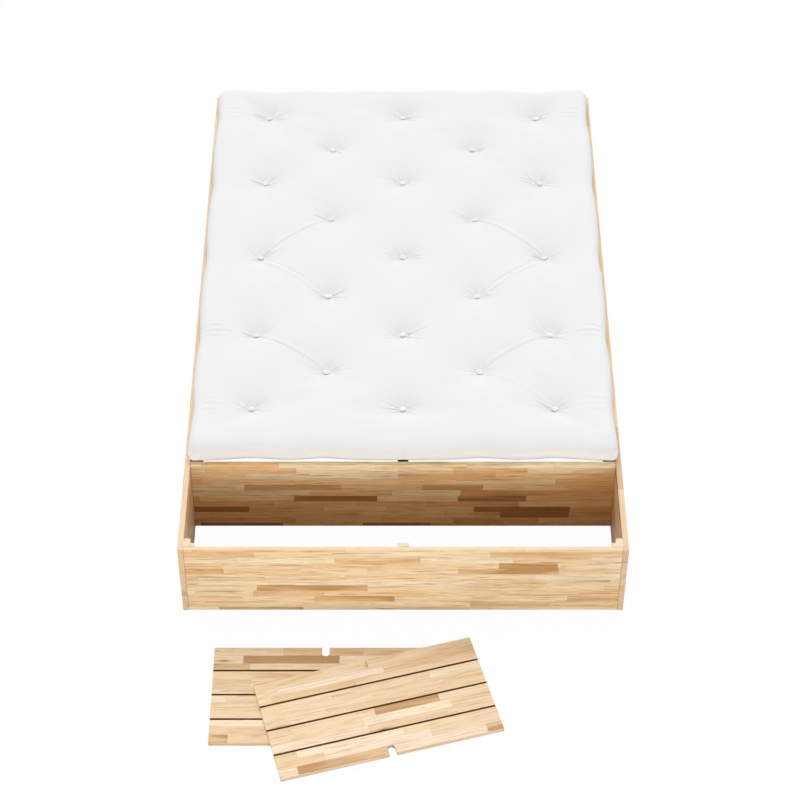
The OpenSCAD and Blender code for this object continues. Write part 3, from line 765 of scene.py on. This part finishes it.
def subdivided(piece):
    """Applies one smooth subdivision."""
    modifier = piece.modifiers.new("Subdivision", "SUBSURF")
    modifier.levels = modifier.render_levels = 1
    mesh = bpy.data.meshes.new_from_object(piece.evaluated_get(bpy.context.evaluated_depsgraph_get()))
    piece.modifiers.remove(modifier)
    piece.data = mesh


def from_line(plan, start, end):
    """Each plan point's distance from a line, towards the head, and how far along it lies."""
    way = np.subtract(end, start)
    across = np.array((-way[1], way[0])) / np.linalg.norm(way)
    offset = plan - start
    return offset @ across * np.sign(across[1]), (offset @ way) / (way @ way)


def tuft_at(x, row):
    """The place of the tie in a row, counted from the foot, that is nearest to x."""
    in_row = TUFTS[np.abs(TUFTS[:, 1] - row_ys[row]) < ROW_ROOM]
    return in_row[np.argmin(np.abs(in_row[:, 0] - x))]


def refine(piece, reach, fold_reach):
    """Cuts the faces near the ties, and near the long folds, in four."""
    cover = bmesh.new()
    cover.from_mesh(piece.data)
    cover.edges.ensure_lookup_table()
    ends = np.array([[*edge.verts[0].co, *edge.verts[1].co] for edge in cover.edges])
    middle = (ends[:, :3] + ends[:, 3:]) / 2
    close = np.min([np.hypot(*(middle[:, :2] - tuft).T) for tuft in TUFTS], axis=0) < reach
    for start, end, _ in long_folds:
        away, along = from_line(middle[:, :2], start, end)
        close |= (np.abs(away) < fold_reach) & (along > -PAST_END) & (along < 1 + PAST_END)
    close &= middle[:, 2] > waist_z
    edges = [cover.edges[int(i)] for i in np.nonzero(close)[0]]
    bmesh.ops.subdivide_edges(cover, edges=edges, cuts=1, use_grid_fill=True)
    cover.to_mesh(piece.data)
    cover.free()


inner_x = min(abs(x) for x in TUFTS[:, 0] if abs(x) > OFF_MIDDLE)
outer_x = max(TUFTS[:, 0])
row_ys = sorted({round(y, 2) for y in TUFTS[:, 1]})
edge_x = tied_x - FROM_SIDE
long_folds = []
for hand in (-1, 1):
    column_x = {"inner": hand * inner_x, "outer": hand * outer_x}
    for start, start_row, end, end_row, strength in TIE_ROLLS:
        long_folds.append((tuft_at(column_x[start], start_row), tuft_at(column_x[end], end_row), strength))
    for row, strength in SIDE_ROLL_ROWS:
        for shift, length in SIDE_ROLLS:
            y = row_ys[row] + shift * MM
            long_folds.append(((hand * edge_x, y - SIDE_ROLL_SLANT), (hand * (edge_x - length * MM), y),
                               strength))

subdivided(futon)
refine(futon, FAN_REACH, ROLL_REACH)
refine(futon, CORE_REACH, ROLL_CORE_REACH)
print(f"refined cover: {len(futon.data.polygons)} faces")

# %% Press in the folds
FAN_ANGLES = (2, 14, 28, 55, 80, 98, 125, 152, 166, 178, 192, 214, 326, 348)
FAN_LENGTH = 105 * MM
FAN_DEPTH = 4.2 * MM
FAN_START = 24 * MM
FAN_WIDTH = 2.0 * MM
FAN_SPREAD = 0.035
FOLD_DEPTH = 2.8 * MM
FOLD_WIDTH = 7 * MM
BOW = 3 * MM
LIP = 0.7
BOW_EASE = 0.6
SEED = 11

# Across a roll: where each valley or ridge lies and how wide it is, in fold widths, and its depth.
ROLL_SHAPE = ((0.0, 0.45, 1.0), (1.5, 0.8, -1.0), (3.4, 1.1, 0.4))

# How far chance varies a tie's strength, and a crease's direction, length, depth and bend.
TIE_STRENGTHS = (0.7, 1.15)
ANGLE_PLAY = 7
LENGTH_SHARES = (0.45, 1.0)
DEPTH_SHARES = (0.3, 1.0)
BEND_PLAY = 0.25


def crease(away, width):
    """A narrow valley, 1 deep, with a raised lip on each side."""
    u = away / width
    return (1 - LIP * u ** 2) * np.exp(-u ** 2 / 2)


def roll(away, width):
    """A crisp valley with a soft ridge beside it, and a shallow valley beyond the ridge."""
    return sum(depth * np.exp(-((away / width - place) / spread) ** 2 / 2)
               for place, spread, depth in ROLL_SHAPE)


points = points_of(futon.data)
plan = points[:, :2]
drop = np.zeros(len(points))
random = np.random.default_rng(SEED)
for tuft in TUFTS:
    close = np.nonzero(np.hypot(*(plan - tuft).T) < 1.5 * FAN_REACH)[0]
    offset = plan[close] - tuft
    radius = np.hypot(*offset.T)
    angle = np.arctan2(offset[:, 1], offset[:, 0])
    strength = random.uniform(*TIE_STRENGTHS)
    for base in FAN_ANGLES:
        direction = math.radians(base + random.uniform(-ANGLE_PLAY, ANGLE_PLAY))
        # Creases that run sideways are longer and a little deeper.
        sideways = abs(math.cos(direction)) ** 2
        length = FAN_LENGTH * random.uniform(*LENGTH_SHARES) * (0.6 + 0.6 * sideways)
        depth = FAN_DEPTH * strength * random.uniform(*DEPTH_SHARES) * (0.7 + 0.3 * sideways)
        bend = random.uniform(-BEND_PLAY, BEND_PLAY)
        turned = angle - direction - bend * radius / length
        fade = np.clip(1 - radius / length, 0, 1) * np.clip(radius / FAN_START, 0, 1) * (np.cos(turned) > 0)
        drop[close] += depth * fade * crease(radius * np.sin(turned), FAN_WIDTH + FAN_SPREAD * radius)
for start, end, strength in long_folds:
    away, along = from_line(plan, start, end)
    bow = np.sin(math.pi * np.clip(along, 0, 1))
    bowed = (away - BOW * bow) * np.sign(strength)
    drop += FOLD_DEPTH * abs(strength) * bow ** BOW_EASE * roll(bowed, FOLD_WIDTH)
points[:, 2] -= np.where(points[:, 2] > waist_z, drop, 0)
set_points(futon.data, points)

# %% [markdown]
# The underside is closed with one flat face, so the cover is a sealed form.

# %% Close the underside
closed = bmesh.new()
closed.from_mesh(futon.data)
open_edges = [edge for edge in closed.edges if edge.is_boundary]
bmesh.ops.contextual_create(closed, geom=open_edges)
bmesh.ops.triangulate(closed, faces=[face for face in closed.faces if len(face.verts) > 4])
bmesh.ops.recalc_face_normals(closed, faces=closed.faces)
for face in closed.faces:
    face.smooth = True
closed.to_mesh(futon.data)
closed.free()
print(f"futon cover: {len(futon.data.polygons)} faces, "
      f"z {points[:, 2].min():.4f} to {points[:, 2].max():.4f}")

# %% [markdown]
# The cover is white cotton, plain woven and washed. Its threads are under a millimetre apart, too
# fine to show in the render, so the weave is drawn 1.6 mm coarse and very shallow. The cloth scatters
# light softly and has a faint fuzz, which a little sheen gives.

# %% Cotton
WEAVE = 1.6 * MM
WEAVE_SHARE = 0.12
SEAM_WIDTH = 3 * MM
SEAM_FROM_END = 20 * MM
cotton, output = new_material("washed_cotton")
tree = cotton.node_tree
place = add(tree, "ShaderNodeTexCoord").outputs["Object"]
cloudy = add(tree, "ShaderNodeTexNoise", {"Vector": place, "Scale": 9.0, "Detail": 3.0}).outputs["Fac"]
slubs = add(tree, "ShaderNodeTexNoise", {"Vector": place, "Scale": 160.0, "Detail": 2.0}).outputs["Fac"]
tone = add(tree, "ShaderNodeMix", {0: cloudy, 6: linear("#ECECED"), 7: linear("#EFEFF0")}, data_type="RGBA")
threads = add(tree, "ShaderNodeVectorMath", {0: place, 1: (2 * math.pi / WEAVE,) * 3}, operation="MULTIPLY")
waves = add(tree, "ShaderNodeVectorMath", {0: threads.outputs[0]}, operation="SINE")
woven = add(tree, "ShaderNodeVectorMath", {0: waves.outputs[0], 1: (1, 1, 1)}, operation="DOT_PRODUCT")
relief = maths(tree, "MULTIPLY_ADD", woven.outputs["Value"], WEAVE_SHARE, slubs)
bump = add(tree, "ShaderNodeBump", {"Strength": 0.12, "Distance": 0.6 * MM, "Height": relief})

# The cover's side strips meet in a flat seam in the middle of each end.
axes = add(tree, "ShaderNodeSeparateXYZ", {0: place})
line = ranged(tree, maths(tree, "ABSOLUTE", axes.outputs["X"]), 0.0, SEAM_WIDTH, -1.0, 0.0,
              interpolation_type="SMOOTHSTEP")
at_end = maths(tree, "GREATER_THAN", maths(tree, "ABSOLUTE", axes.outputs["Y"]), tied_y - SEAM_FROM_END)
seam = maths(tree, "MULTIPLY", line, at_end)
bump = add(tree, "ShaderNodeBump", {"Strength": 0.8, "Distance": 1.2 * MM, "Height": seam,
                                    "Normal": bump.outputs[0]})
shader = add(tree, "ShaderNodeBsdfPrincipled", {"Base Color": tone.outputs[2], "Roughness": 0.9,
                                                "Specular IOR Level": 0.1, "Sheen Weight": 0.04,
                                                "Sheen Roughness": 0.6, "Normal": bump.outputs[0]})
tree.links.new(shader.outputs[0], output.inputs["Surface"])
futon.data.materials.append(cotton)
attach(futon, "futon")
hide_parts("futon")

# %% [markdown]
# Each tie ends in a round felt button with a stitch across it. The buttons repeat, so a Geometry
# Nodes tree places one on each tie: a flattened ball for the felt, a short bar of thread over it, and
# a random turn each.

# %% Tuft buttons
BUTTON_RADIUS = 11 * MM
BUTTON_THICKNESS = 6 * MM
THREAD = 1.1 * MM
STITCH_SHARE = 0.45
RAISED_SHARE = 0.45

felt, output = new_material("wool_felt")
tree = felt.node_tree
place = add(tree, "ShaderNodeTexCoord").outputs["Object"]
fibres = add(tree, "ShaderNodeTexNoise", {"Vector": place, "Scale": 700.0, "Detail": 4.0}).outputs["Fac"]
tone = add(tree, "ShaderNodeMix", {0: fibres, 6: linear("#EFEFEE"), 7: linear("#FAFAF9")}, data_type="RGBA")
bump = add(tree, "ShaderNodeBump", {"Strength": 0.4, "Distance": 0.5 * MM, "Height": fibres})
shader = add(tree, "ShaderNodeBsdfPrincipled", {"Base Color": tone.outputs[2], "Roughness": 0.95,
                                                "Specular IOR Level": 0.15, "Sheen Weight": 0.2,
                                                "Normal": bump.outputs[0]})
tree.links.new(shader.outputs[0], output.inputs["Surface"])

button_tree = bpy.data.node_groups.new("felt_buttons", "GeometryNodeTree")
interface = button_tree.interface
interface.new_socket("Geometry", in_out="INPUT", socket_type="NodeSocketGeometry")
INPUTS = (("Radius", "NodeSocketFloat", BUTTON_RADIUS), ("Thickness", "NodeSocketFloat", BUTTON_THICKNESS),
          ("Thread", "NodeSocketFloat", THREAD), ("Seed", "NodeSocketInt", 5))
for name, kind, value in INPUTS:
    interface.new_socket(name, in_out="INPUT", socket_type=kind).default_value = value
interface.new_socket("Geometry", in_out="OUTPUT", socket_type="NodeSocketGeometry")
tree = button_tree
given = add(tree, "NodeGroupInput")
half_thick = maths(tree, "MULTIPLY", given.outputs["Thickness"], 0.5)
flat = add(tree, "ShaderNodeCombineXYZ", {"X": given.outputs["Radius"], "Y": given.outputs["Radius"],
                                          "Z": half_thick})
ball = add(tree, "GeometryNodeMeshUVSphere", {"Segments": 32, "Rings": 16, "Radius": 1.0})
disc = add(tree, "GeometryNodeTransform", {"Geometry": ball.outputs["Mesh"], "Scale": flat.outputs[0]})
stitch_reach = maths(tree, "MULTIPLY", given.outputs["Radius"], STITCH_SHARE)
stitch_start = add(tree, "ShaderNodeCombineXYZ", {"X": stitch_reach, "Z": half_thick})
stitch_end = add(tree, "ShaderNodeVectorMath", {0: stitch_start.outputs[0], 1: (-1, 1, 1)},
                 operation="MULTIPLY")
stitch = add(tree, "GeometryNodeCurvePrimitiveLine", {"Start": stitch_start.outputs[0],
                                                      "End": stitch_end.outputs[0]})
thread_radius = maths(tree, "MULTIPLY", given.outputs["Thread"], 0.5)
thread_ring = add(tree, "GeometryNodeCurvePrimitiveCircle", {"Resolution": 10, "Radius": thread_radius})
thread = add(tree, "GeometryNodeCurveToMesh", {"Curve": stitch.outputs[0],
                                               "Profile Curve": thread_ring.outputs[0], "Fill Caps": True})
one_button = add(tree, "GeometryNodeJoinGeometry")
tree.links.new(disc.outputs[0], one_button.inputs[0])
tree.links.new(thread.outputs[0], one_button.inputs[0])
spin = add(tree, "FunctionNodeRandomValue", {"Min": (0, 0, 0), "Max": (0, 0, math.pi),
                                             "Seed": given.outputs["Seed"]}, data_type="FLOAT_VECTOR")
placed = add(tree, "GeometryNodeInstanceOnPoints", {"Points": given.outputs["Geometry"],
                                                    "Instance": one_button.outputs[0],
                                                    "Rotation": spin.outputs[0]})
real = add(tree, "GeometryNodeRealizeInstances", {0: placed.outputs[0]})
smooth = add(tree, "GeometryNodeSetShadeSmooth", {"Geometry": real.outputs[0]})
felted = add(tree, "GeometryNodeSetMaterial", {"Geometry": smooth.outputs[0], "Material": felt})
add(tree, "NodeGroupOutput", {"Geometry": felted.outputs[0]})

cover_points = points_of(futon.data)
button_places = []
for tx, ty in TUFTS:
    under = cover_points[(np.hypot(cover_points[:, 0] - tx, cover_points[:, 1] - ty) < BUTTON_RADIUS)
                         & (cover_points[:, 2] > waist_z)]
    button_places.append((tx, ty, under[:, 2].max() + RAISED_SHARE * BUTTON_THICKNESS))
place_mesh = bpy.data.meshes.new("tuft_places")
place_mesh.from_pydata(button_places, [], [])
buttons = bpy.data.objects.new("felt_buttons", place_mesh)
scene.collection.objects.link(buttons)
modifier = buttons.modifiers.new("Buttons", "NODES")
modifier.node_group = button_tree
for item in interface.items_tree:
    if item.in_out == "INPUT" and item.socket_type != "NodeSocketGeometry":
        modifier[item.identifier] = item.default_value
baked = bpy.data.meshes.new_from_object(buttons.evaluated_get(bpy.context.evaluated_depsgraph_get()))
buttons.modifiers.remove(modifier)
buttons.data = baked
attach(buttons, "futon")
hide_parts("tuft_buttons")
print(f"buttons: {len(button_places)}, {len(baked.polygons)} faces")
